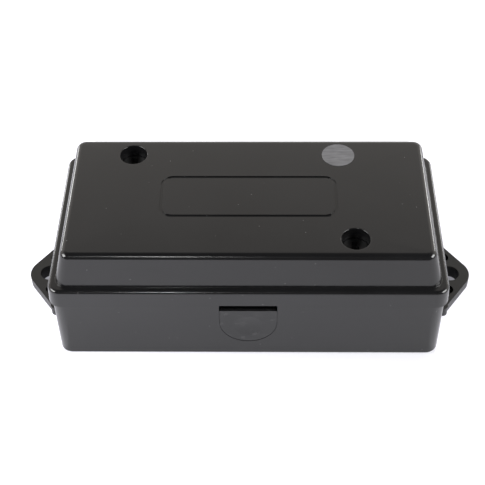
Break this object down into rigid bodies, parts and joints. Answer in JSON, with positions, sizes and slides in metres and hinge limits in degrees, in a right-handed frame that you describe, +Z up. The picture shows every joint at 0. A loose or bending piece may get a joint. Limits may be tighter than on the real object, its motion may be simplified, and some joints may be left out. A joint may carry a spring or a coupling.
{
  "type": "rodent bait station",
  "caption": "Low lockable bait station: drafted box with hinged skirted lid, press-tab latch, key locks, end mounting lugs, lift-out tray and bait rods.",
  "frame": {"origin": "centre of the base's underside, on the surface that the station stands on", "axes": "+X along the length towards the right lug, -Y towards the front with the press tab, +Z up"},
  "size_m": [0.277, 0.1251, 0.0772],
  "materials": {
    "shell_black": "glossy moulded black with a very fine texture",
    "satin_black": "satin moulded black",
    "tray_grey": "satin dark grey",
    "zinc_steel": "zinc plated",
    "label_grey": "matte printed film",
    "bait_blue": "pressed wax and grain"
  },
  "bodies": {
    "base": {"base_shell": "shell_black", "front_keeper": "shell_black", "rear_keeper": "shell_black", "left_lug": "satin_black", "right_lug": "satin_black", "left_lug_screws": "zinc_steel", "right_lug_screws": "zinc_steel", "left_hinge_pin": "zinc_steel", "right_hinge_pin": "zinc_steel", "latch_pin": "zinc_steel", "baffle_wall": "satin_black"},
    "lid": {"lid_shell": "shell_black", "latch_hook": "shell_black", "inspection_label": "label_grey"},
    "latch": {"latch_tongue": "shell_black", "latch_spring": "zinc_steel"},
    "front_lock": {"front_lock_plug": "satin_black", "front_lock_cam": "zinc_steel", "front_cam_washer": "zinc_steel", "front_cam_screw": "zinc_steel"},
    "rear_lock": {"rear_lock_plug": "satin_black", "rear_lock_cam": "zinc_steel", "rear_cam_washer": "zinc_steel", "rear_cam_screw": "zinc_steel"},
    "tray": {"bait_tray": "tray_grey"},
    "front_rod": {"front_bait_rod": "zinc_steel", "front_bait_blocks": "bait_blue"},
    "rear_rod": {"rear_bait_rod": "zinc_steel", "rear_bait_blocks": "bait_blue"}
  },
  "joints": [
    {"name": "lid_hinge", "type": "hinge", "parent": "base", "child": "lid", "pos_m": [0, 0.0627, 0.0398], "axis": [-1, 0, 0], "range_deg": [0, 105]},
    {"name": "latch_press", "type": "hinge", "parent": "base", "child": "latch", "pos_m": [0, -0.05254, 0.01402], "axis": [-1, 0, 0], "range_deg": [0, 5], "stiffness_Nm_per_rad": 0.05, "springref_deg": -5.73},
    {"name": "front_lock_turn", "type": "hinge", "parent": "lid", "child": "front_lock", "pos_m": [0.0612, -0.0358, 0.05], "axis": [0, 0, 1], "range_deg": [0, 90]},
    {"name": "rear_lock_turn", "type": "hinge", "parent": "lid", "child": "rear_lock", "pos_m": [-0.0706, 0.0357, 0.05], "axis": [0, 0, 1], "range_deg": [0, 90]},
    {"name": "tray_lift", "type": "slide", "parent": "base", "child": "tray", "axis": [0, 0, 1], "range_m": [0, 0.016]},
    {"name": "front_rod_lift", "type": "slide", "parent": "tray", "child": "front_rod", "axis": [0, 0, 1], "range_m": [0, 0.016]},
    {"name": "rear_rod_lift", "type": "slide", "parent": "tray", "child": "rear_rod", "axis": [0, 0, 1], "range_m": [0, 0.016]}
  ]
}
